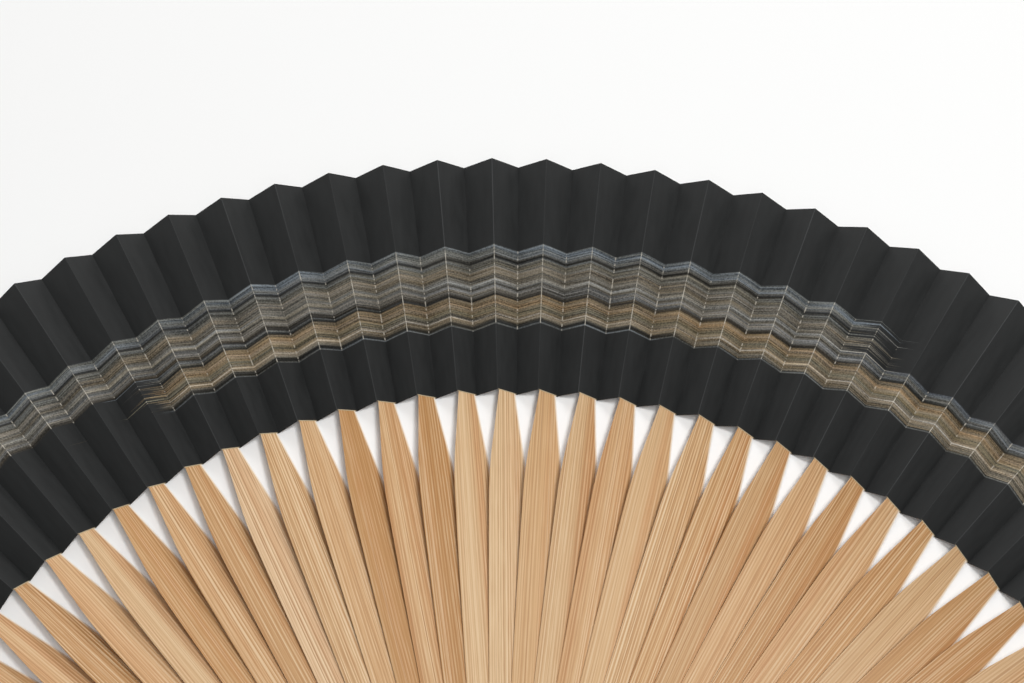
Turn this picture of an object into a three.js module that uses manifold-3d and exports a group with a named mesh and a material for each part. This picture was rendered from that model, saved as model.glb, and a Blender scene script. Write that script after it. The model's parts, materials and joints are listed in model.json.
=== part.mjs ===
// A folding fan with a short leaf, lying open: thin bamboo ribs between two bamboo guards turn on one pin,
// and a pleated paper leaf joins their outer ends. Millimetres, +Z up.
// The pin stands on the Z axis with its lower head on z = 0, and the middle of the fan points along +Y.
// Sticks are counted from the left. Stick 0 is the lower guard, the last stick is the upper guard,
// and each rib between them lies on top of its left neighbour.
import * as THREE from "three";
import { mergeVertices } from "three/addons/utils/BufferGeometryUtils.js";
import Module from "manifold-3d";

// Sticks on the pin
const stickCount = 45;
const openAngle = 159.2; // degrees between the centre lines of the guards
const stickGap = 0.06; // play between neighbours on the pin
const stickTail = 9; // pin axis to the round butt end

// Ribs
const ribThickness = 0.24;
const ribButtWidth = 8.2;
const ribWidth = 9.6;
const ribFullWidthAt = 75; // from the pin axis
const neckLength = 20; // corner of the shoulder to the leaf
const neckWidth = 4.9; // where the rib enters the leaf
const shoulderRound = 6; // rounding to each side of the shoulder's corner
const tipWidth = 2.6;
const tipInset = 8; // tip to the outer edge of the leaf
const twistLength = 93; // over this length the rib turns into the slope of its pleat
const twistPower = 2; // above 1, the turn grows towards the leaf

// Leaf
const leafRadius = 218; // pin axis to the outer edge
const leafLength = 64; // along the folds
const pleatHeight = 4.55; // mountain fold above valley fold, at the outer edge
const paperDepth = 0.14; // one face of the sheet, measured upright
const pocketPlay = 0.1; // round the tip of a rib
const pocketMouth = 1; // the rib already has the slope of its pleat this far before the leaf

// Guards
const guardButtWidth = 8.6;
const guardWidth = 10;
const guardTipWidth = 8.6;
const guardLeafThickness = 1.5; // beside the leaf; at the pin the guard is thicker
const guardBevel = 0.6; // along the outer edges
const guardTipRound = 2;

// Pin
const pinDiameter = 2.6;
const pinPlay = 0.3; // round the pin
const headDiameter = 5.4;
const headThickness = 0.75;
const headBevel = 0.35;

// Facets
const buttSteps = 8;
const holeSteps = 12;
const pinSteps = 16;
const twistSteps = 3;
const shoulderSteps = 3;
const neckSteps = 3;
const tipSteps = 3;

// Places that follow from the sizes
const pitch = THREE.MathUtils.degToRad(openAngle) / (stickCount - 1);
const foldAngle = pitch / 4; // from the centre line of a rib to each of its two folds
const foldSlope = pleatHeight / 2 / leafRadius; // rise of a mountain fold over its rib, for each unit of radius
const pleatRoll = Math.atan2(foldSlope, Math.sin(foldAngle));
const lastStick = stickCount - 1;
const leafInner = leafRadius - leafLength;
const ribTip = leafRadius - tipInset;
const shoulderAt = leafInner - neckLength;
const twistEnd = leafInner - pocketMouth;
const twistStart = twistEnd - twistLength;
const leafDepth = ribThickness + 2 * pocketPlay + 2 * paperDepth;
const ribStep = ribThickness + stickGap;
const holeRadius = pinDiameter / 2 + pinPlay;
const hubEnd = holeRadius + pinDiameter; // the round butt with its hole ends here

// The guards stand off from the ribs beside the leaf, by half a pleat, so that the pleats fit between them
// when the fan is shut. At the pin they lie flat on the ribs.
const guardOuterAtPin = headThickness + stickGap;
const guardInnerAtPin = guardLeafThickness + (pleatHeight + leafDepth) / 2;
const firstRibLevel = guardInnerAtPin + stickGap + ribThickness / 2;
const fanHeight = 2 * guardInnerAtPin + stickGap + (stickCount - 2) * ribStep;

const stickAngle = (stick) => Math.PI / 2 + pitch * (lastStick / 2 - stick);
const ribLevel = (stick) => firstRibLevel + (stick - 1) * ribStep;

const wasm = await Module();
wasm.setup();

// Evenly spaced values from one end to the other, both included.
function spaced(from, to, steps) {
  return Array.from({ length: steps + 1 }, (_, i) => THREE.MathUtils.lerp(from, to, i / steps));
}

// Closed solid from a flat net of triangles and its layers from the lowest to the highest. Each layer places
// every point of the net, and walls stand on the edges that only one triangle uses.
function layeredSolid(triangles, layers) {
  const count = layers[0].length;
  const top = count * (layers.length - 1);
  const index = [];
  const used = new Set(triangles.flatMap(([a, b, c]) => [`${a} ${b}`, `${b} ${c}`, `${c} ${a}`]));
  for (const [a, b, c] of triangles) {
    index.push(top + a, top + b, top + c);
    index.push(c, b, a);
  }
  for (const edge of used) {
    const [a, b] = edge.split(" ").map(Number);
    if (used.has(`${b} ${a}`)) continue;
    for (let low = 0; low < top; low += count) {
      const high = low + count;
      index.push(low + a, low + b, high + b);
      index.push(low + a, high + b, high + a);
    }
  }
  const geometry = new THREE.BufferGeometry().setFromPoints(layers.flat());
  geometry.setIndex(index);
  geometry.computeVertexNormals();
  return geometry;
}

// Net of a stick lying along X: a round butt with the pin hole, then cross lines at the stations.
// The inset draws the outline in on every side and leaves the hole as it is.
function stickPoints(stations, halfWidth, buttWidth, inset = 0) {
  const end = stations.at(-1);
  const across = stations.map((x) => {
    const y = halfWidth(x) - inset;
    const drawnIn = x === end ? x - inset : x;
    return [new THREE.Vector2(drawnIn, -y), new THREE.Vector2(drawnIn, y)];
  });
  const round = buttWidth / 2;
  const butt = spaced(Math.PI / 2, 1.5 * Math.PI, buttSteps).map((angle) => {
    const centre = new THREE.Vector2(round - stickTail, 0);
    return centre.add(new THREE.Vector2(Math.cos(angle), Math.sin(angle)).multiplyScalar(round - inset));
  });
  const hole = spaced(0, 2 * Math.PI, holeSteps)
    .slice(1)
    .map((angle) => new THREE.Vector2(Math.cos(angle), Math.sin(angle)).multiplyScalar(holeRadius));
  const contour = [...across[0], ...butt];
  return { contour, hole, across };
}

function stickTriangles({ contour, hole, across }) {
  const triangles = THREE.ShapeUtils.triangulateShape(contour, [hole]);
  const pair = (i) => (i === 0 ? 0 : contour.length + hole.length + 2 * (i - 1));
  for (let i = 0; i + 1 < across.length; i += 1) {
    const near = pair(i);
    const far = pair(i + 1);
    triangles.push([near, far, far + 1], [near, far + 1, near + 1]);
  }
  return triangles;
}

function allPoints({ contour, hole, across }) {
  return [...contour, ...hole, ...across.slice(1).flat()];
}

// Half the width of a rib, measured across the bamboo: a blade that widens from the butt, a rounded shoulder,
// a straight neck and a slim tip inside the leaf.
function ribHalfWidth(x) {
  const taper = (ribWidth - neckWidth) / 2 / neckLength;
  const fromCorner = x - shoulderAt;
  if (x <= ribFullWidthAt) return THREE.MathUtils.mapLinear(x, 0, ribFullWidthAt, ribButtWidth, ribWidth) / 2;
  if (fromCorner <= -shoulderRound) return ribWidth / 2;
  if (fromCorner < shoulderRound) {
    return ribWidth / 2 - (taper * (fromCorner + shoulderRound) ** 2) / (4 * shoulderRound);
  }
  if (x <= leafInner) return ribWidth / 2 - taper * fromCorner;
  return THREE.MathUtils.mapLinear(x, leafInner, ribTip, neckWidth, tipWidth) / 2;
}

// A rib is flat on the pin and turns ever faster about its own length, left edge up, towards its pleat.
function rolled(point, lift) {
  const turned = THREE.MathUtils.clamp((point.x - twistStart) / twistLength, 0, 1);
  const roll = pleatRoll * turned ** twistPower;
  return new THREE.Vector3(point.x, point.y * Math.cos(roll), point.y * Math.sin(roll) + lift);
}

function ribGeometry() {
  const stations = [
    hubEnd,
    ribFullWidthAt,
    ...spaced(twistStart, shoulderAt - shoulderRound, twistSteps),
    ...spaced(shoulderAt - shoulderRound, shoulderAt + shoulderRound, shoulderSteps).slice(1),
    ...spaced(shoulderAt + shoulderRound, twistEnd, neckSteps).slice(1),
    leafInner,
    ribTip,
  ].sort((a, b) => a - b);
  const net = stickPoints(stations, ribHalfWidth, ribButtWidth);
  const layers = [-ribThickness / 2, ribThickness / 2].map((lift) => allPoints(net).map((p) => rolled(p, lift)));
  return layeredSolid(stickTriangles(net), layers);
}

// Half the width of a guard, which ends in a rounded tip level with the leaf's outer edge.
function guardHalfWidth(x) {
  const tipStart = leafRadius - guardTipRound;
  if (x <= ribFullWidthAt) return THREE.MathUtils.mapLinear(x, 0, ribFullWidthAt, guardButtWidth, guardWidth) / 2;
  if (x <= shoulderAt) return guardWidth / 2;
  const half = THREE.MathUtils.mapLinear(x, shoulderAt, leafRadius, guardWidth, guardTipWidth) / 2;
  const intoTip = Math.max(0, x - tipStart);
  return half - guardTipRound + Math.sqrt(Math.max(0, guardTipRound ** 2 - intoTip ** 2));
}

// A guard as it lies at the bottom of the fan: bevelled outer face down, flat inner face up.
function guardGeometry() {
  const tipStart = leafRadius - guardTipRound;
  const tip = spaced(0, Math.PI / 2, tipSteps).map((angle) => tipStart + guardTipRound * Math.sin(angle));
  const stations = [hubEnd, ribFullWidthAt, twistStart, shoulderAt, leafInner, ...tip];
  stations.sort((a, b) => a - b);
  const standOff = (x) => THREE.MathUtils.clamp((x - twistStart) / (leafInner - twistStart), 0, 1);
  const inner = (x) => THREE.MathUtils.lerp(guardInnerAtPin, guardLeafThickness, standOff(x));
  const outer = (x) => THREE.MathUtils.lerp(guardOuterAtPin, 0, standOff(x));
  const full = stickPoints(stations, guardHalfWidth, guardButtWidth);
  const drawnIn = stickPoints(stations, guardHalfWidth, guardButtWidth, guardBevel);
  const layers = [
    allPoints(drawnIn).map((p) => new THREE.Vector3(p.x, p.y, outer(p.x))),
    allPoints(full).map((p) => new THREE.Vector3(p.x, p.y, outer(p.x) + guardBevel)),
    allPoints(full).map((p) => new THREE.Vector3(p.x, p.y, inner(p.x))),
  ];
  return layeredSolid(stickTriangles(full), layers);
}

// One pin with a bevelled head formed at each end, outside the guards.
function pinGeometry() {
  const shaft = pinDiameter / 2;
  const head = headDiameter / 2;
  const half = [
    [0, 0],
    [head - headBevel, 0],
    [head, headBevel],
    [head, headThickness],
    [shaft, headThickness],
  ];
  const mirrored = half.map(([radius, z]) => [radius, fanHeight - z]).reverse();
  const profile = [...half, ...mirrored].map(([radius, z]) => new THREE.Vector2(radius, z));
  return new THREE.LatheGeometry(profile, pinSteps).rotateX(Math.PI / 2);
}

function toManifold(geometry) {
  const bare = geometry.clone();
  bare.deleteAttribute("normal");
  bare.deleteAttribute("uv");
  const merged = mergeVertices(bare);
  const vertProperties = new Float32Array(merged.attributes.position.array);
  const triVerts = new Uint32Array(merged.index.array);
  return new wasm.Manifold(new wasm.Mesh({ numProp: 3, vertProperties, triVerts }));
}

function toGeometry(manifold) {
  const mesh = manifold.getMesh();
  const geometry = new THREE.BufferGeometry();
  geometry.setAttribute("position", new THREE.BufferAttribute(mesh.vertProperties, 3));
  geometry.setIndex(new THREE.BufferAttribute(mesh.triVerts, 1));
  geometry.computeVertexNormals();
  return geometry;
}

// Room for the tip of one rib inside the leaf, open at the leaf's inner edge.
function pocketGeometry() {
  const depth = ribThickness / 2 + pocketPlay;
  const points = [twistEnd, leafInner, ribTip + pocketPlay].flatMap((x) => {
    const y = ribHalfWidth(x) + pocketPlay;
    return [new THREE.Vector2(x, -y), new THREE.Vector2(x, y)];
  });
  const triangles = [
    [0, 2, 3],
    [0, 3, 1],
    [2, 4, 5],
    [2, 5, 3],
  ];
  return layeredSolid(triangles, [-depth, depth].map((lift) => points.map((p) => rolled(p, lift))));
}

// The pleated leaf, before its pockets are opened. Each rib lies in the panel between its mountain fold, on its
// left, and its valley fold, and a bare panel leads on to the next rib. The end panels lie flat on the guards.
function pleatedSheet() {
  const seat = guardLeafThickness + stickGap + leafDepth / 2;
  const folds = [];
  for (let stick = 0; stick < stickCount; stick += 1) {
    for (const side of [1, -1]) {
      const angle = stickAngle(stick) + side * foldAngle;
      const level = (radius) => {
        if (stick === 0) return seat;
        if (stick === lastStick) return fanHeight - seat;
        return ribLevel(stick) + side * foldSlope * radius;
      };
      folds.push({ angle, level });
    }
  }
  const layers = [-leafDepth / 2, leafDepth / 2].map((lift) =>
    folds.flatMap(({ angle, level }) =>
      [leafInner, leafRadius].map((radius) => {
        const place = new THREE.Vector3(radius, 0, level(radius) + lift);
        return place.applyAxisAngle(new THREE.Vector3(0, 0, 1), angle);
      }),
    ),
  );
  const triangles = [];
  for (let fold = 0; fold + 1 < folds.length; fold += 1) {
    const left = 2 * fold;
    const right = left + 2;
    triangles.push([left, right, right + 1], [left, right + 1, left + 1]);
  }
  return layeredSolid(triangles, layers);
}

function leafGeometry() {
  const pocket = toManifold(pocketGeometry());
  let leaf = toManifold(pleatedSheet());
  for (let stick = 1; stick < lastStick; stick += 1) {
    const turn = THREE.MathUtils.radToDeg(stickAngle(stick));
    leaf = leaf.subtract(pocket.rotate([0, 0, turn]).translate([0, 0, ribLevel(stick)]));
  }
  return toGeometry(leaf);
}

// Split bamboo: every stick has its own shade, redder or yellower and lighter or darker.
const hueStray = 0.01;
const lightStray = 0.03;

function bamboo(stick) {
  const stray = (limit) => limit * (2 * THREE.MathUtils.seededRandom() - 1);
  THREE.MathUtils.seededRandom(stick + 1);
  const color = new THREE.Color("#cfa36f").offsetHSL(stray(hueStray), 0, stray(lightStray));
  return new THREE.MeshStandardMaterial({ color, roughness: 0.55, metalness: 0 });
}

const blackPaper = new THREE.MeshStandardMaterial({ color: "#2b2c2c", roughness: 0.8, metalness: 0 });
const blackHorn = new THREE.MeshStandardMaterial({ color: "#1d1a18", roughness: 0.35, metalness: 0 });

function piece(name, geometry, material) {
  const mesh = new THREE.Mesh(geometry, material);
  mesh.name = name;
  return mesh;
}

const fan = new THREE.Group();

const guard = guardGeometry();
const lowerGuard = piece("guard_left", guard, bamboo(0));
lowerGuard.rotation.z = stickAngle(0);
fan.add(lowerGuard);

// The upper guard is the same piece, turned over about its own length.
const upperGuard = piece("guard_right", guard, bamboo(lastStick));
upperGuard.rotation.x = Math.PI;
const upperPlace = new THREE.Group();
upperPlace.rotation.z = stickAngle(lastStick);
upperPlace.position.z = fanHeight;
upperPlace.add(upperGuard);
fan.add(upperPlace);

const rib = ribGeometry();
for (let stick = 1; stick < lastStick; stick += 1) {
  const mesh = piece(`rib_${String(stick).padStart(2, "0")}`, rib, bamboo(stick));
  mesh.rotation.z = stickAngle(stick);
  mesh.position.z = ribLevel(stick);
  fan.add(mesh);
}

fan.add(piece("leaf", leafGeometry(), blackPaper));
fan.add(piece("pivot_pin", pinGeometry(), blackHorn));

export default fan;
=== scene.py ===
"""A folding fan lying open: split bamboo ribs between two bamboo guards, a pleated black paper leaf with a
brushed stripe, and a horn pin. Sizes are in millimetres, and a mesh is scaled to metres when it is made."""
import functools
import json
import math

import bpy
import numpy as np
from mathutils import Matrix, Vector


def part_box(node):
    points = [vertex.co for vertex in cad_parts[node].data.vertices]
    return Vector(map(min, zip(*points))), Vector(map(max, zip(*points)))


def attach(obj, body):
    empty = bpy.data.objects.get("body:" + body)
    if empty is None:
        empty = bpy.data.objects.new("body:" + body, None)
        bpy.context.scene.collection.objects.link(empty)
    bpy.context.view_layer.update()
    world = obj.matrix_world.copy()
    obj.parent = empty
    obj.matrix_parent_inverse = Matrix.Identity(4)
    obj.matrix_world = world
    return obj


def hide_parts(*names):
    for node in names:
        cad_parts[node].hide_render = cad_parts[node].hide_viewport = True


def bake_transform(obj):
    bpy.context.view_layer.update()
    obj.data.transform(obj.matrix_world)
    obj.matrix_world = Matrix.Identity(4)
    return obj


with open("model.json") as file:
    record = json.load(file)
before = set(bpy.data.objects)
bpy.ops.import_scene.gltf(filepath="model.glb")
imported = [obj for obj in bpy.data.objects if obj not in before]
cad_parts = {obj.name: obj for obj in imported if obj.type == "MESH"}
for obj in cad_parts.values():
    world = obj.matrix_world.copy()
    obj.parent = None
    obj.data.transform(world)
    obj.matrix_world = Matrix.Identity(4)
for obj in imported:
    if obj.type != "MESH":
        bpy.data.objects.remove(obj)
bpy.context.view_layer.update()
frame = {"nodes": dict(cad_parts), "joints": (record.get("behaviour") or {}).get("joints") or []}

MM = 0.001

# Sticks on the pin, counted from the left
rib_names = sorted(name for name in frame["nodes"] if name.startswith("rib_"))
last_stick = len(rib_names) + 1
middle_stick = last_stick / 2
fold_joint = next(joint for joint in frame["joints"] if joint["name"] == "fan_fold")
open_angle = math.radians(max(fold_joint["range_deg"]))
pitch = open_angle / last_stick
fold_angle = pitch / 4  # from the centre line of a stick to the folds beside it
stick_tail = 9  # from the pin to the round butt end
hole_radius = 1.6
hub_end = 4.2  # from the pin to the first row across
fan_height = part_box("pivot_pin")[1].z / MM

# Ribs
rib_butt_width = 8.2
rib_width = 9.6
full_width_at = 75
rib_depth = 0.24
rib_depth_at_leaf = 0.13
rib_depth_at_tip = 0.08
neck_length = 20
neck_width = 4.9
shoulder_round = 6
tip_width = 2.6
edge_round = 0.1
edge_share = 0.45  # of a rib's depth, left on its rounded edge
twist_length = 93

# Leaf
leaf_outer = 218
leaf_inner = 154
rib_tip = 210
pleat_height = 4.55
paper_depth = 0.1
pocket_swell = 0.06  # of each face over a rib tip
pocket_fall = (-0.1, 0.6)  # from a rib's edge: where the swelling starts to fall, and where it ends
pocket_end = 2  # from a rib's tip to the end of the swelling
fold_slope = pleat_height / 2 / leaf_outer
pleat_roll = math.atan2(fold_slope, math.sin(fold_angle))
panel_share = math.hypot(fold_slope, math.sin(fold_angle)) * 2  # width of a panel for each unit of radius

# Guards and pin
guard_butt_width = 8.6
guard_width = 10
guard_tip_width = 8.6
guard_depth_at_leaf = 1.5
guard_inner_at_pin = 4.135
guard_outer_at_pin = 0.81
guard_round = 0.6
guard_tip_round = 2
pin_diameter = 2.6
head_diameter = 5.4
head_depth = 0.75

shoulder_at = leaf_inner - neck_length
twist_end = leaf_inner - 1
twist_start = twist_end - twist_length

# Grain map of the bamboo
grain_row = 40  # kept for each stick
grain_shift = 7.3  # along the culm, from one stick to the next
bundle_spacing = 0.74

# Camera
camera_place = (-26.2, -91.7, 534.4)
camera_tilt = 26.3  # degrees, as the next two
camera_roll = -3.05
camera_turn = 0.81
camera_lens = 84.42
sensor_width = 36

# Table
floor_gap = 0.3  # under the folds of the leaf
floor_drop = 0.1  # under the pin and the lower guard
rise_reach = (9, 130)  # from the pin: level before the first, full height from the second
rise_stick = 0.6  # on the left of it the table is level
steepest_rise = 0.55  # for each stick to the right of it
fall_sticks = 20  # on the right of the fan, until the table is level again
floor_lift = 0.08  # share of plain white in what the camera sees of the table near the fan
white_reach = (0.3, 0.9)  # metres from the pin, between which the table turns plain white

# Light: the share is the part of a white card's brightness that a source gives a level card on the table
room_share = 0.21
lamp_distance = 1.4  # metres, as the next lines
lamp_target = Vector((0, 0.15, 0.01))
soft_boxes = [  # name, direction from the leaf, width and share
    ("key_box", (0.26, -0.06, 0.96), 0.35, 0.45),
    ("front_box", (0.1, -0.34, 0.93), 0.35, 0.17),
    ("back_box", (0, 0.87, 0.5), 0.6, 0.17),
]


# Nodes and shared measures

def linear(hex_colour):
    """Linear RGBA of an sRGB hex value."""
    srgb = [int(hex_colour[i:i + 2], 16) / 255 for i in (1, 3, 5)]
    rgb = [c / 12.92 if c <= 0.04045 else ((c + 0.055) / 1.055) ** 2.4 for c in srgb]
    return (*rgb, 1)


def result(node):
    """The socket on which a node gives its value."""
    return next(socket for socket in node.outputs if socket.enabled)


def add_node(tree, kind, *inputs, stops=(), **settings):
    """Adds a node and fills its open inputs in order: a node or a socket is linked, any other value is set.
    Stops are the places and colours of a ramp."""
    node = tree.nodes.new("ShaderNode" + kind)
    for name, value in settings.items():
        setattr(node, name, value)
    for place, _ in stops[2:]:
        node.color_ramp.elements.new(place)
    for number, (place, colour) in enumerate(stops):
        node.color_ramp.elements[number].position = place
        node.color_ramp.elements[number].color = linear(colour)
    sockets = [socket for socket in node.inputs if socket.enabled]
    for socket, value in zip(sockets, inputs):
        if isinstance(value, bpy.types.Node):
            value = result(value)
        if isinstance(value, bpy.types.NodeSocket):
            tree.links.new(value, socket)
        else:
            socket.default_value = linear(value) if isinstance(value, str) else value
    return node


def seen_directly(tree):
    """1 for rays from the camera and for mirrored and clear ones, 0 for the rays that light the object."""
    path = add_node(tree, "LightPath").outputs
    seen = add_node(tree, "Math", path["Is Camera Ray"], path["Is Glossy Ray"], operation="MAXIMUM")
    return add_node(tree, "Math", seen, path["Is Transmission Ray"], operation="MAXIMUM")


def between(x, start, end, low, high):
    """Straight line from low at start to high at end."""
    return low + (high - low) * np.clip((x - start) / (end - start), 0, 1)


def eased(x, start, end, low, high):
    """Smooth step from low at start to high at end."""
    share = np.clip((x - start) / (end - start), 0, 1)
    return low + (high - low) * share * share * (3 - 2 * share)


def stick_angle(stick):
    """Direction of a stick's centre line from +X, in radians."""
    return math.pi / 2 + pitch * (middle_stick - stick)


def rib_level(stick):
    """Height of a rib's middle plane, from its solid."""
    low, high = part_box(rib_names[stick - 1])
    return (low.z + high.z) / 2 / MM


# Materials

def new_material(name, roughness, specular):
    """A material, its node tree and its shader with a mean roughness, which nodes may vary, and a shine."""
    material = bpy.data.materials.new(name)
    material.use_nodes = True
    tree = material.node_tree
    shader = tree.nodes["Principled BSDF"]
    shader.inputs["Roughness"].default_value = roughness
    shader.inputs["Specular IOR Level"].default_value = specular
    return material, tree, shader


def white_lacquer():
    """Matt white lacquer, sprayed on the table: no grain and hardly any gloss. The camera sees it a little
    lifted near the fan, where it keeps the shadow, and plain white far away."""
    material, tree, shader = new_material("matt_white_lacquer", 0.9, 0.1)
    shader.inputs["Base Color"].default_value = linear("#fcfcfb")
    white = add_node(tree, "Emission", "#ffffff", 1.0)
    place = add_node(tree, "TexCoord").outputs["Object"]
    away = add_node(tree, "VectorMath", place, operation="LENGTH")
    lift = add_node(tree, "MapRange", away, *white_reach, floor_lift, 1.0)
    lift = add_node(tree, "Math", lift, seen_directly(tree), operation="MULTIPLY")
    mixed = add_node(tree, "MixShader", lift, shader, white)
    tree.links.new(result(mixed), tree.nodes["Material Output"].inputs["Surface"])
    return material


def split_bamboo():
    """Split and planed bamboo, left bare: straight fibre bundles run the whole length as fine lighter and
    darker lines, and the dense dark ones are a little smoother. Each stick comes from another part of the
    culm and has its own shade, some plain and some lively. The ribs' right-hand edges are painted pale,
    partly as rubbed wear and mostly as a highlight where they face the key light, most of all on the necks.
    Single fibres are too fine to show, so the finest lines are drawn 0.24 mm wide, about a pixel of the
    photograph's frame."""
    material, tree, shader = new_material("split_bamboo", 0.5, 0.3)
    add = functools.partial(add_node, tree)
    grain = add("UVMap", uv_map="grain")
    across = add("SeparateXYZ", grain).outputs["Y"]

    def fibres(length, width, detail, shift):
        """Noise drawn out along the stick: the length and width of a fibre in millimetres."""
        scaled = add("VectorMath", grain, (1 / length, 1 / width, 0), operation="MULTIPLY")
        moved = add("VectorMath", scaled, (0, 0, shift))
        return add("TexNoise", moved, 1.0, detail)

    row = add("Math", across, grain_row, operation="DIVIDE")
    lot = add("TexWhiteNoise", add("Math", row, operation="FLOOR"), noise_dimensions="1D")
    shade = add("ValToRGB", lot.outputs["Value"], stops=[
        (0.0, "#b88a58"), (0.18, "#c99d6c"), (0.36, "#d6b48a"), (0.52, "#bd905f"), (0.68, "#d2a97c"),
        (0.84, "#caa072"), (1.0, "#ddbd98")])
    other_draw = add("SeparateColor", lot.outputs["Color"]).outputs["Green"]
    lively = add("MapRange", other_draw, 0.0, 1.0, 0.36, 0.72)

    phase = add("Math", across, 2 * math.pi / bundle_spacing, operation="MULTIPLY")
    phase = add("Math", fibres(3000, 1.3, 2, 41), 13.0, phase, operation="MULTIPLY_ADD")
    bundles = add("Math", phase, operation="SINE")
    streak = add("Math", fibres(900, 0.26, 1, 13), 0.6, fibres(2500, 0.5, 2, 0), operation="MULTIPLY_ADD")
    streak = add("Math", fibres(2500, 4.5, 1, 7), 0.6, streak, operation="MULTIPLY_ADD")
    streak = add("Math", fibres(9, 0.24, 2, 21), 0.7, streak, operation="MULTIPLY_ADD")
    streak = add("Math", bundles, 0.19, streak, operation="MULTIPLY_ADD")

    warm = add("MapRange", fibres(2000, 4.0, 1, 37), 0.48, 0.68, 0.0, 0.4)
    colour = add("Mix", warm, shade, "#bf8452", data_type="RGBA")
    light = add("Math", add("MapRange", streak, 1.45, 1.78, 0.0, 1.0), lively, operation="MULTIPLY")
    dark = add("Math", add("MapRange", streak, 1.45, 1.05, 0.0, 1.0), lively, operation="MULTIPLY")
    colour = add("Mix", light, colour, "#ecd4b0", data_type="RGBA")
    colour = add("Mix", dark, colour, "#9a6534", data_type="RGBA")
    vessel = add("MapRange", fibres(90, 0.28, 1, 29), 0.63, 0.72, 0.0, 0.5)
    colour = add("Mix", vessel, colour, "#9a683c", data_type="RGBA")

    edge = add("SeparateXYZ", add("UVMap", uv_map="edge"))
    # Painted highlight with some rubbed wear: the right-hand edges, which face the key light, are drawn pale,
    # most of all on the necks.
    wear_and_highlight = add("MapRange", edge.outputs["X"], 0.55, 0.2, 0.0, 0.9)
    at_neck = add("MapRange", edge.outputs["Y"], shoulder_at - 30, shoulder_at + 6, 0.25, 1.0)
    wear_and_highlight = add("Math", wear_and_highlight, at_neck, operation="MULTIPLY")
    colour = add("Mix", wear_and_highlight, colour, "#f8eede", data_type="RGBA")
    tree.links.new(result(colour), shader.inputs["Base Color"])
    rough = add("MapRange", streak, 1.05, 1.78, 0.44, 0.56)
    tree.links.new(result(rough), shader.inputs["Roughness"])
    bump = add("Bump", 0.3, 0.04 * MM)
    tree.links.new(result(streak), bump.inputs["Height"])
    tree.links.new(result(bump), shader.inputs["Normal"])
    return material


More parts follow.
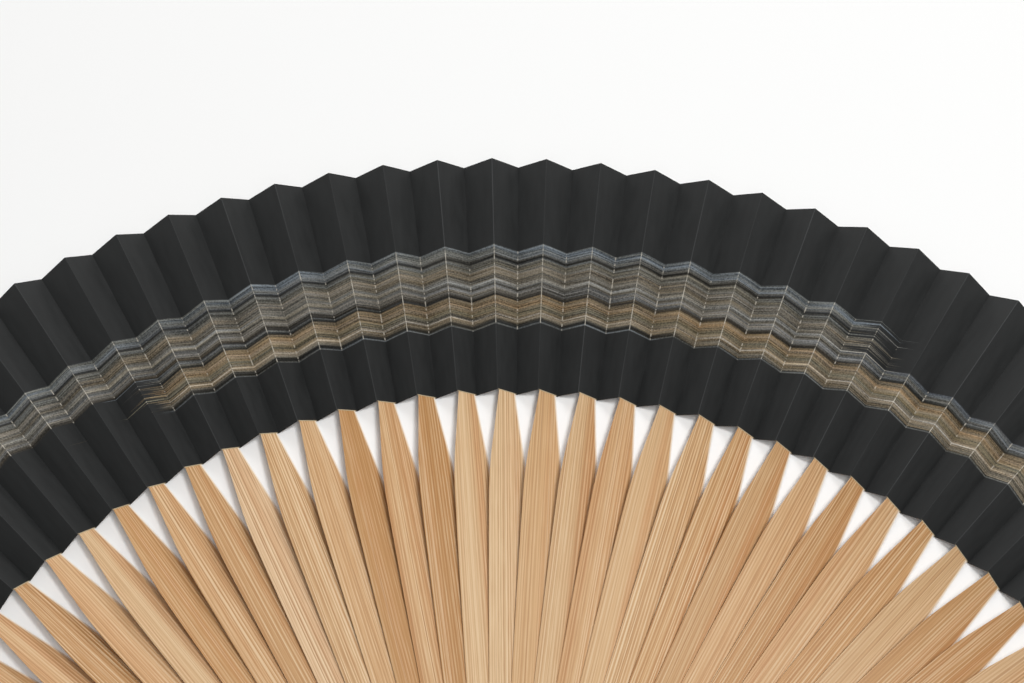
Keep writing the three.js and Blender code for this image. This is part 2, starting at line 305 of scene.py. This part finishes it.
def brushed_stripe(add, streaks, stick, radius, mountain, valley, paper):
    """Two strokes of a wide dry brush in silver and gold powder paint: fine lines 0.3 mm wide, a ragged start
    of the lower stroke and a ragged end of the upper one, and paint that cracks off along the folds. Grains
    of the powder are too fine to show, so clumps of 0.4 mm stand for them. Returns the colour of the painted
    paper and how far paint covers it."""
    fine = streaks(1.6, 0.3, 2, 0.7)
    speck = streaks(0.035, 0.4, 2, 2.2)
    bristles = add("Math", fine, 3.0, -2.2, operation="MULTIPLY_ADD")
    bristles = add("Math", streaks(4.0, 1.1, 2, 5.3), 1.5, bristles, operation="MULTIPLY_ADD")
    bristles = add("Math", speck, 2.0, bristles, operation="MULTIPLY_ADD")
    bristles = add("Math", bristles, 0.3, operation="MAXIMUM")
    tint = add("ValToRGB", streaks(3.0, 0.9, 2, 8.8), stops=[(0.36, "#eef2f6"), (0.64, "#f8eedc")])
    waver = add("MapRange", streaks(0.8, 40, 2, 9.9), 0.0, 1.0, -0.25, 0.25)
    line = add("Math", radius, waver)

    def stroke(below, foot, top, foot_lean, top_lean, foot_bow, stops, first, dry):
        """One pull of the brush over what is below: the radius of its two edges at the middle of the leaf,
        how much they rise for each stick to the right, how the lower edge bows, its colours from the lower to
        the upper edge, the place in them at which it starts above the line on its edge, and how dry it is."""
        slope = add("Math", stick, foot_bow, foot_lean, operation="MULTIPLY_ADD")
        low = add("Math", stick, slope, foot, operation="MULTIPLY_ADD")
        high = add("Math", stick, top_lean, top, operation="MULTIPLY_ADD")
        share = add("MapRange", line, low, high, 0.0, 1.0, clamp=False)
        above_line = add("Math", share, 0.045, operation="GREATER_THAN")
        start = add("Math", above_line, first, operation="MULTIPLY")
        paint = add("ValToRGB", add("Math", share, start, operation="MAXIMUM"), stops=stops)
        paint = add("Mix", 1.0, paint, tint, data_type="RGBA", blend_type="MULTIPLY")
        paint = add("VectorMath", paint, bristles, operation="SCALE")
        inside = add("MapRange", share, -0.015, 0.015, 0.0, 1.0)
        inside = add("Math", inside, add("MapRange", share, 1.015, 0.985, 0.0, 1.0), operation="MULTIPLY")
        cover = add("MapRange", add("Math", fine, dry, operation="SUBTRACT"), 0.02, 0.12, 0.0, 1.0)
        whole = add("Math", inside, cover, operation="MULTIPLY")
        return add("Mix", whole, below, paint, data_type="RGBA"), whole

    lower_stops = [
        (0.00, "#73777a"), (0.025, "#454747"), (0.045, "#202121"), (0.10, "#35332f"), (0.15, "#70695d"),
        (0.215, "#7c7264"), (0.235, "#a39d93"), (0.26, "#766d60"), (0.30, "#6f685b"), (0.38, "#696455"),
        (0.48, "#7e715e"), (0.56, "#877661"), (0.64, "#706553"), (0.69, "#736756"), (0.72, "#242321"),
        (0.76, "#40413f"), (0.82, "#66686a"), (0.92, "#5e6265"), (1.00, "#56595e")]
    upper_stops = [
        (0.00, "#262524"), (0.05, "#403c36"), (0.10, "#62615f"), (0.16, "#747371"), (0.23, "#4e4d4a"),
        (0.30, "#8b8a86"), (0.34, "#65635e"), (0.44, "#69645b"), (0.53, "#746e65"), (0.62, "#63615a"),
        (0.71, "#636360"), (0.75, "#262625"), (0.77, "#2c2c2b"), (0.81, "#5e6062"), (0.88, "#6f7478"),
        (0.95, "#5b6064"), (1.00, "#7b8185")]
    dry_start = add("MapRange", stick, -6.2, -9.3, 0.0, 0.72, interpolation_type="SMOOTHSTEP")
    dry_end = add("MapRange", stick, 4.8, 9.8, 0.0, 0.72, interpolation_type="SMOOTHSTEP")
    worn_foot = add("MapRange", stick, 1.5, 4.5, 0.0, 0.15)
    colour, lower = stroke(
        paper, foot=171.7, top=182.8, foot_lean=0.26, top_lean=0.3, foot_bow=0.0,
        stops=lower_stops, first=worn_foot, dry=dry_start)
    colour, upper = stroke(
        colour, foot=179.6, top=193.45, foot_lean=0.1, top_lean=0.2, foot_bow=0.012,
        stops=upper_stops, first=0.0, dry=dry_end)
    coat = add("Math", lower, upper, operation="MAXIMUM")

    flaked = add("MapRange", streaks(0.3, 0.7, 2, 4.4), 0.38, 0.6, 0.15, 1.0)
    crack = add("MapRange", mountain, 0.19, 0.06, 0.0, 0.7, interpolation_type="SMOOTHSTEP")
    crack = add("Math", add("Math", crack, flaked, operation="MULTIPLY"), coat, operation="MULTIPLY")
    colour = add("Mix", crack, colour, "#cbc5b8", data_type="RGBA")
    flaked = add("MapRange", streaks(0.3, 0.9, 2, 6.1), 0.47, 0.58, 0.0, 0.68)
    crack = add("MapRange", valley, 0.24, 0.1, 0.0, 1.0, interpolation_type="SMOOTHSTEP")
    crack = add("Math", add("Math", crack, flaked, operation="MULTIPLY"), coat, operation="MULTIPLY")
    return add("Mix", crack, colour, "#c4beb2", data_type="RGBA"), coat


def black_paper(name, painted):
    """Pasted mulberry paper dyed black: almost matt, with faint fibres, and pale along the mountain folds,
    partly as rubbed wear and partly as a painted highlight that grows towards the right, where the folds
    catch the light. The paper is drawn a little lighter towards its outer edge. Single fibres are too fine to
    show, so they are drawn as clouds 9 mm long and over 1 mm wide. The painted front has a brushed stripe of
    smoother paint, and its cut inner edge is worn to a thin pale line over the ribs."""
    material, tree, shader = new_material(name, 0.56, 0.2)
    add = functools.partial(add_node, tree)
    sheet = add("SeparateXYZ", add("UVMap", uv_map="sheet"))
    stick, radius = sheet.outputs["X"], sheet.outputs["Y"]  # sticks from the middle of the leaf
    fold = add("SeparateXYZ", add("UVMap", uv_map="folds"))
    mountain, valley = fold.outputs["X"], fold.outputs["Y"]  # millimetres to these folds

    def streaks(length, width, detail, shift):
        """Noise drawn out along the arc: the length in sticks and the width in millimetres."""
        along = add("Math", stick, length, operation="DIVIDE")
        across = add("Math", radius, width, operation="DIVIDE")
        return add("TexNoise", add("CombineXYZ", along, across, shift), 1.0, detail)

    dye = streaks(0.12, 9.0, 3, 3.1)
    # The paper is drawn lighter towards its outer edge.
    lighter_outwards = add("MapRange", radius, leaf_inner, leaf_outer, 0.2, -0.2)
    depth = add("Math", dye, lighter_outwards, operation="SUBTRACT")
    colour = add("ValToRGB", depth, stops=[(0.2, "#161717"), (0.8, "#232424")])
    # Pale line along the mountain folds: partly rubbed wear, partly a painted highlight.
    wear_and_highlight = add("MapRange", mountain, 0.2, 0.06, 0.0, 0.25, interpolation_type="SMOOTHSTEP")
    handled_and_lit = add("MapRange", streaks(1.5, 90, 1, 12.0), 0.42, 0.6, 0.25, 1.0)
    handled_and_lit = add("Math", handled_and_lit, add("MapRange", radius, 165.0, 190.0, 0.85, 1.0), operation="MULTIPLY")
    # Painted highlight: the fold lines grow paler towards the right, where the folds catch the light.
    handled_and_lit = add("Math", handled_and_lit, add("MapRange", stick, -12.0, -2.0, 0.5, 1.0), operation="MULTIPLY")
    wear_and_highlight = add("Math", wear_and_highlight, handled_and_lit, operation="MULTIPLY")
    colour = add("Mix", wear_and_highlight, colour, "#6b6d6e", data_type="RGBA")
    rough = add("MapRange", dye, 0.3, 0.7, 0.52, 0.6)
    if painted:
        colour, coat = brushed_stripe(add, streaks, stick, radius, mountain, valley, colour)
        metal = add("Math", coat, 0.6, operation="MULTIPLY")
        tree.links.new(result(metal), shader.inputs["Metallic"])
        rough = add("Math", coat, -0.06, rough, operation="MULTIPLY_ADD")
        off_centre = add("Math", stick, 0.5, operation="PINGPONG")
        over_rib = add("MapRange", off_centre, 0.25, 0.2, 0.0, 0.7)
        at_edge = add("MapRange", radius, leaf_inner + 0.28, leaf_inner + 0.12, 0.0, 1.0)
        worn = add("Math", over_rib, at_edge, operation="MULTIPLY")
        colour = add("Mix", worn, colour, "#e2cda8", data_type="RGBA")
    tree.links.new(result(colour), shader.inputs["Base Color"])
    tree.links.new(result(rough), shader.inputs["Roughness"])
    bump = add("Bump", 0.2, 0.05 * MM)
    tree.links.new(result(dye), bump.inputs["Height"])
    tree.links.new(result(bump), shader.inputs["Normal"])
    return material


def cut_paper():
    """The cut edge of the pasted sheet, where the undyed middle of the paper shows as a thin tan line."""
    material, tree, shader = new_material("cut_paper_edge", 0.85, 0.1)
    fibre_clump = 0.8  # single fibres are too fine to show
    where = add_node(tree, "TexCoord").outputs["Object"]
    fibre = add_node(tree, "TexNoise", where, 1 / (fibre_clump * MM), 2.0)
    colour = add_node(tree, "ValToRGB", fibre, stops=[(0.35, "#4a4038"), (0.7, "#9c8a70")])
    tree.links.new(result(colour), shader.inputs["Base Color"])
    return material


def polished_horn():
    """Dark horn, turned and polished: nearly black, with a clear soft gloss and a few browner, duller
    clouds."""
    material, tree, shader = new_material("polished_horn", 0.28, 0.5)
    cloud_width = 1.6
    where = add_node(tree, "TexCoord").outputs["Object"]
    cloud = add_node(tree, "TexNoise", where, 1 / (cloud_width * MM), 3.0)
    colour = add_node(tree, "ValToRGB", cloud, stops=[(0.4, "#15120f"), (0.75, "#3a281b")])
    tree.links.new(result(colour), shader.inputs["Base Color"])
    rough = add_node(tree, "MapRange", cloud, 0.4, 0.75, 0.25, 0.34)
    tree.links.new(result(rough), shader.inputs["Roughness"])
    return material


# Camera, floor and light

def make_camera():
    """The photograph's viewpoint, found from the corners of the folds in a frame of 1024 x 683 pixels."""
    data = bpy.data.cameras.new("camera")
    data.sensor_width = sensor_width
    data.lens = camera_lens
    camera = bpy.data.objects.new("camera", data)
    place = Matrix.Translation(Vector(camera_place) * MM)
    turn = Matrix.Rotation(math.radians(camera_turn), 4, "Z")
    tilt = Matrix.Rotation(math.radians(camera_tilt), 4, "X")
    roll = Matrix.Rotation(math.radians(camera_roll), 4, "Y")
    camera.matrix_world = place @ turn @ tilt @ roll
    bpy.context.collection.objects.link(camera)
    bpy.context.scene.camera = camera


def make_floor():
    """A pale ground that rises gently under the open fan. Real ribs bend and let the leaf lie flat on a
    table. These stiff ones hold it on a slow screw, so the ground follows the valley folds instead."""
    around = 240
    reach = [9, 20, 35, 50, 65, 80, 95, 110, 122, 134, 144, 154, 170, 186, 202, 218]
    reach += [240, 280, 400, 900, 6000]
    turn = np.linspace(-math.pi, math.pi, around, endpoint=False)
    radius, bearing = [values.ravel() for values in np.meshgrid(reach, turn, indexing="ij")]
    stick = middle_stick + bearing / pitch
    screw = rib_level(2) - rib_level(1)
    valley = rib_level(1) + (stick - 1) * screw - fold_slope * np.maximum(radius, leaf_inner)
    most = np.maximum(stick - rise_stick, 0) * steepest_rise
    height = np.clip(valley - paper_depth / 2 - floor_gap, 0, most)
    height *= eased(radius, *rise_reach, 0, 1) * eased(stick, last_stick, last_stick + fall_sticks, 1, 0)
    points = np.stack([radius * np.sin(bearing), radius * np.cos(bearing), height - floor_drop], 1)
    points = np.concatenate([points, [(0, 0, -floor_drop)]])
    faces = []
    for i in range(around):
        j = (i + 1) % around
        faces.append((len(points) - 1, j, i))
        for near in range(0, (len(reach) - 1) * around, around):
            faces.append((near + i, near + j, near + around + j, near + around + i))
    mesh = bpy.data.meshes.new("floor")
    mesh.from_pydata((points * MM).tolist(), [], faces)
    mesh.materials.append(white_lacquer())
    mesh.shade_smooth()
    floor = bpy.data.objects.new("floor", mesh)
    bpy.context.collection.objects.link(floor)


def make_lamp(name, direction, width, share):
    """A round soft box in the given direction from the leaf."""
    direction = Vector(direction).normalized()
    data = bpy.data.lights.new(name, "AREA")
    data.shape = "DISK"
    data.size = width
    data.energy = share * (math.pi * lamp_distance) ** 2 / direction.z
    lamp = bpy.data.objects.new(name, data)
    lamp.location = lamp_target + lamp_distance * direction
    lamp.rotation_euler = direction.to_track_quat("Z", "Y").to_euler()
    bpy.context.collection.objects.link(lamp)


def make_light():
    """A soft box high on the right, a weaker one in front, a low one behind the fan, and an even white
    room."""
    world = bpy.data.worlds.new("white_room")
    bpy.context.scene.world = world
    world.use_nodes = True
    tree = world.node_tree
    strength = add_node(tree, "Mix", seen_directly(tree), room_share, 1.0)
    background = tree.nodes["Background"]
    background.inputs["Color"].default_value = (1, 1, 1, 1)
    tree.links.new(result(strength), background.inputs["Strength"])
    for box in soft_boxes:
        make_lamp(*box)


# Meshes

def layered_solid(name, cells, low, high, maps, materials):
    """Closed mesh from a net of cells: its upper layer, its lower layer and a wall on every open edge,
    which take the three materials in turn. Maps give the net's points their places in each UV map."""
    count = len(high)
    edges = {(cell[i - 1], cell[i]) for cell in cells for i in range(len(cell))}
    rim = sorted((a, b) for a, b in edges if (b, a) not in edges)
    faces = [tuple(cell) for cell in cells]
    faces += [tuple(count + i for i in reversed(cell)) for cell in cells]
    faces += [(count + a, count + b, b, a) for a, b in rim]
    mesh = bpy.data.meshes.new(name)
    mesh.from_pydata((np.concatenate([high, low]) * MM).tolist(), [], faces)
    for material in materials:
        mesh.materials.append(material)
    kinds = np.repeat([0, 1, 2], [len(cells), len(cells), len(rim)])
    mesh.polygons.foreach_set("material_index", kinds.astype(np.int32))
    corners = np.zeros(len(mesh.loops), np.int32)
    mesh.loops.foreach_get("vertex_index", corners)
    for map_name, places in maps.items():
        layer = mesh.uv_layers.new(name=map_name)
        layer.data.foreach_set("uv", places[corners % count].astype(np.float32).ravel())
    mesh.shade_smooth()
    mesh.set_sharp_from_angle(angle=math.radians(28))
    made = bpy.data.objects.new(name, mesh)
    bpy.context.collection.objects.link(made)
    return made


def stick_net(stations, half_width, butt_width, columns):
    """Flat net of a stick lying along X: rings round the pin hole, then rows across at the stations.
    Returns its points, each point's distance to the outline, and its cells."""
    front = half_width(hub_end)
    butt = butt_width / 2
    centre = butt - stick_tail
    side = np.linspace(hub_end, centre, 7)[1:]
    arc = np.linspace(0.5 * math.pi, 1.5 * math.pi, 19)[1:]
    contour = [(hub_end, share * front) for share in columns]
    contour += [(x, between(x, centre, hub_end, butt, front)) for x in side]
    contour += [(centre + butt * math.cos(a), butt * math.sin(a)) for a in arc]
    contour += [(x, -between(x, centre, hub_end, butt, front)) for x in side[-2::-1]]
    contour = np.array(contour, float)
    reach = np.linalg.norm(contour, axis=1, keepdims=True)
    hole = contour / reach * hole_radius
    points, edge = [], []
    rings = [0, 0.3, 0.65, 0.86, 0.96, 0.985, 1]
    for ring in rings:
        loop = hole + (contour - hole) * ring
        x, y = loop.T
        beside = between(x, centre, hub_end, butt, front) - np.abs(y)
        behind = butt - np.hypot(x - centre, y)
        points.append(loop)
        edge.append(np.maximum(np.where(x > centre, beside, behind), 0))
    around = len(contour)
    cells = []
    for ring in range(len(rings) - 1):
        inner, outer = ring * around, (ring + 1) * around
        for i in range(around):
            j = (i + 1) % around
            cells.append((inner + i, outer + i, outer + j, inner + j))
    rows = [np.arange(len(columns)) + (len(rings) - 1) * around]
    shares = np.array(columns)
    count = len(rings) * around
    for x in stations:
        width = half_width(x)
        points.append(np.stack([np.full(len(shares), float(x)), shares * width], 1))
        edge.append(np.minimum((1 - np.abs(shares)) * width, stations[-1] - x))
        rows.append(np.arange(len(shares)) + count)
        count += len(shares)
    for near, far in zip(rows, rows[1:]):
        for j in range(len(shares) - 1):
            cells.append((near[j], far[j], far[j + 1], near[j + 1]))
    return np.concatenate(points), np.concatenate(edge), [tuple(int(i) for i in cell) for cell in cells]


def stick_grain(x, y, stick):
    """Places in the grain map: each stick has its own row, further along the culm than the last."""
    return np.stack([x + grain_shift * stick, y + grain_row * (stick + 0.5)], 1)


def rib_half_width(x):
    """A blade that widens from the butt, a rounded shoulder, a straight neck and a slim tip in the leaf."""
    taper = (rib_width - neck_width) / 2 / neck_length
    past = x - shoulder_at
    if x <= full_width_at:
        return between(x, 0, full_width_at, rib_butt_width, rib_width) / 2
    if past <= -shoulder_round:
        return rib_width / 2
    if past < shoulder_round:
        return rib_width / 2 - taper * (past + shoulder_round) ** 2 / (4 * shoulder_round)
    if x <= leaf_inner:
        return rib_width / 2 - taper * past
    return between(x, leaf_inner, rib_tip, neck_width, tip_width) / 2


def guard_half_width(x):
    """The outer sticks keep their width beside the leaf and end in a rounded tip."""
    if x <= full_width_at:
        return between(x, 0, full_width_at, guard_butt_width, guard_width) / 2
    half = between(x, shoulder_at, leaf_outer, guard_width, guard_tip_width) / 2
    into_tip = max(0.0, x - (leaf_outer - guard_tip_round))
    return half - guard_tip_round + math.sqrt(max(0.0, guard_tip_round ** 2 - into_tip ** 2))


def make_ribs(bamboo):
    """Thin ribs, flat on the pin and turned, left edge up, into the slope of their pleats."""
    shoulder_start = shoulder_at - shoulder_round
    shoulder_end = shoulder_at + shoulder_round
    stations = np.concatenate([
        np.linspace(hub_end, twist_start, 6)[1:],
        np.linspace(twist_start, shoulder_start, 12)[1:],
        np.linspace(shoulder_start, shoulder_end, 9)[1:],
        np.linspace(shoulder_end, leaf_inner, 8)[1:],
        np.linspace(leaf_inner, rib_tip, 5)[1:],
    ])
    columns = [-1, -0.98, -0.9, -0.6, -0.3, 0, 0.3, 0.6, 0.9, 0.98, 1]
    net, edge, cells = stick_net(stations, rib_half_width, rib_butt_width, columns)
    x, y = net.T
    roll = pleat_roll * np.clip((x - twist_start) / twist_length, 0, 1) ** 2
    depth = np.where(x < leaf_inner, between(x, shoulder_at, leaf_inner, rib_depth, rib_depth_at_leaf),
                     between(x, leaf_inner, rib_tip, rib_depth_at_leaf, rib_depth_at_tip))
    half = depth / 2 * between(edge, 0, edge_round, edge_share, 1)
    middle = np.stack([x, y * np.cos(roll), y * np.sin(roll)], 1)
    lift = np.stack([0 * x, 0 * x, half], 1)
    # The edge map holds the distance to a rib's right-hand edge, where the bamboo is painted pale as a
    # highlight and as wear, and the radius.
    right_edge = np.stack([np.where(y < 0, edge, rib_width), x], 1)
    for stick, name in enumerate(rib_names, start=1):
        maps = {"grain": stick_grain(x, y, stick), "edge": right_edge}
        rib = layered_solid("bamboo_" + name, cells, middle - lift, middle + lift, maps, [bamboo] * 3)
        place = Matrix.Translation((0, 0, rib_level(stick) * MM))
        rib.matrix_world = place @ Matrix.Rotation(stick_angle(stick), 4, "Z")
        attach(rib, name)
        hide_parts(name)


def make_guards(bamboo):
    """Thick outer sticks with rounded outer edges, which stand off from the ribs beside the leaf."""
    rounding = [0, 0.04, 0.12, 0.26, 0.42, 0.6]
    tip_turn = np.radians([15, 30, 45, 58, 70, 80, 86, 90])
    stations = np.concatenate([
        np.linspace(hub_end, twist_start, 8)[1:],
        np.linspace(twist_start, leaf_inner, 14)[1:],
        np.linspace(leaf_inner, leaf_outer - guard_tip_round, 8)[1:],
        leaf_outer - guard_tip_round * (1 - np.sin(tip_turn)),
    ])
    outer_columns = [1 - share / (guard_width / 2) for share in rounding]
    columns = [-c for c in outer_columns] + [-0.6, -0.3, 0, 0.3, 0.6] + outer_columns[::-1]
    net, edge, cells = stick_net(stations, guard_half_width, guard_butt_width, columns)
    x, y = net.T
    stand_off = np.clip((x - twist_start) / (leaf_inner - twist_start), 0, 1)
    inner = guard_inner_at_pin + (guard_depth_at_leaf - guard_inner_at_pin) * stand_off
    outer = guard_outer_at_pin * (1 - stand_off)
    short = np.clip(guard_round - edge, 0, guard_round)
    outer = outer + guard_round - np.sqrt(guard_round ** 2 - short ** 2)
    low, high = np.stack([x, y, outer], 1), np.stack([x, y, inner], 1)
    # The guards' edge map puts every point far from an edge, so they get no painted edge highlight.
    no_edge_highlight = np.stack([np.full_like(edge, guard_width), x], 1)
    for stick, name in ((0, "guard_left"), (last_stick, "guard_right")):
        maps = {"grain": stick_grain(x, y, stick), "edge": no_edge_highlight}
        guard = layered_solid("bamboo_" + name, cells, low, high, maps, [bamboo] * 3)
        guard.matrix_world = Matrix.Rotation(stick_angle(stick), 4, "Z")
        if stick == last_stick:
            turned = Matrix.Translation((0, 0, fan_height * MM)) @ guard.matrix_world
            guard.matrix_world = turned @ Matrix.Rotation(math.pi, 4, "X")
        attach(guard, name)
        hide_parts(name)


def make_pin(horn):
    """One pin through all the sticks, with a domed head at each end."""
    around = 48
    dome_turn = np.linspace(0, math.pi / 2, 8)
    dome = [(head_diameter / 2 * math.sin(a), head_depth * (1 - math.cos(a))) for a in dome_turn]
    half = dome + [(pin_diameter / 2, head_depth)]
    profile = half + [(radius, fan_height - z) for radius, z in reversed(half)]
    rings = profile[1:-1]
    turn = np.linspace(0, 2 * math.pi, around, endpoint=False)
    points = [(0, 0, 0)]
    for radius, z in rings:
        points += [(radius * math.cos(a), radius * math.sin(a), z) for a in turn]
    points.append((0, 0, fan_height))
    faces = []
    for i in range(around):
        j = (i + 1) % around
        faces.append((0, 1 + j, 1 + i))
        for ring in range(len(rings) - 1):
            near, far = 1 + ring * around, 1 + (ring + 1) * around
            faces.append((near + i, near + j, far + j, far + i))
        top = 1 + (len(rings) - 1) * around
        faces.append((top + i, top + j, len(points) - 1))
    mesh = bpy.data.meshes.new("horn_pin")
    mesh.from_pydata((np.array(points) * MM).tolist(), [], faces)
    mesh.materials.append(horn)
    mesh.shade_smooth()
    mesh.set_sharp_from_angle(angle=math.radians(50))
    pin = bpy.data.objects.new("horn_pin", mesh)
    bpy.context.collection.objects.link(pin)
    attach(pin, "guard_left")
    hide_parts("pivot_pin")


def fold_point(stick, side, radius):
    """Points of a fold at these radii: side 1 is the mountain fold on the left of a stick, and -1 the valley
    fold on its right. The end panels of the leaf lie on the guards."""
    angle = stick_angle(stick) + side * fold_angle
    seat = guard_depth_at_leaf + paper_depth
    if stick == 0:
        level = np.full_like(radius, seat)
    elif stick == last_stick:
        level = np.full_like(radius, fan_height - seat)
    else:
        level = rib_level(stick) + side * fold_slope * radius
    return np.stack([radius * math.cos(angle), radius * math.sin(angle), level], 1)


def make_leaf(front, back, cut):
    """One pleated sheet of two pasted faces. A panel with a rib inside leads from each mountain fold down to
    the valley fold, and a bare panel leads up to the next rib."""
    radius = np.linspace(leaf_inner, leaf_outer, 34)
    rib_panel = [0, 0.05, 0.13, 0.2, 0.28, 0.38, 0.5, 0.62, 0.72, 0.8, 0.87, 0.95]
    bare_panel = [0, 0.08, 0.25, 0.5, 0.75, 0.92]
    half_rib = np.array([rib_half_width(r) for r in radius])
    columns = []
    for stick in range(last_stick + 1):
        mountain, valley = fold_point(stick, 1, radius), fold_point(stick, -1, radius)
        for share in rib_panel:
            across = np.abs(0.5 - share) * panel_share * radius
            filled = between(across - half_rib, *pocket_fall, 1, 0)
            filled = filled * between(radius, rib_tip, rib_tip + pocket_end, 1, 0)
            if stick in (0, last_stick):
                filled = 0 * radius
            columns.append({
                "middle": mountain + (valley - mountain) * share,
                "half": paper_depth / 2 + pocket_swell * filled,
                "stick": stick - 0.25 + share / 2,
                "mountain": share,
                "turn": stick / last_stick,
            })
        if stick == last_stick:
            break
        rise = fold_point(stick + 1, 1, radius)
        for share in bare_panel:
            columns.append({
                "middle": valley + (rise - valley) * share,
                "half": np.full_like(radius, paper_depth / 2),
                "stick": stick + 0.25 + share / 2,
                "mountain": 1 - share,
                "turn": (stick + share) / last_stick,
            })
    columns.append({
        "middle": fold_point(last_stick, -1, radius),
        "half": np.full_like(radius, paper_depth / 2),
        "stick": last_stick + 0.25,
        "mountain": 1,
        "turn": 1,
    })
    rows = len(radius)
    middle = np.concatenate([c["middle"] for c in columns])
    lift = np.zeros_like(middle)
    lift[:, 2] = np.concatenate([c["half"] for c in columns])
    sheet = [np.stack([np.full(rows, c["stick"] - middle_stick), radius], 1) for c in columns]
    width = panel_share * radius
    folds = [np.stack([c["mountain"] * width, (1 - c["mountain"]) * width], 1) for c in columns]
    maps = {"sheet": np.concatenate(sheet), "folds": np.concatenate(folds)}
    cells = []
    for column in range(len(columns) - 1):
        for row in range(rows - 1):
            near = column * rows + row
            cells.append((near, near + rows, near + rows + 1, near + 1))
    leaf = layered_solid("paper_leaf", cells, middle - lift, middle + lift, maps, [front, back, cut])
    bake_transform(leaf)
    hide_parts("leaf")


bpy.context.scene.view_settings.view_transform = "Standard"
make_camera()
make_floor()
make_light()
bamboo = split_bamboo()
make_ribs(bamboo)
make_guards(bamboo)
make_pin(polished_horn())
front_paper = black_paper("black_mulberry_paper", painted=True)
back_paper = black_paper("black_mulberry_paper_back", painted=False)
make_leaf(front_paper, back_paper, cut_paper())
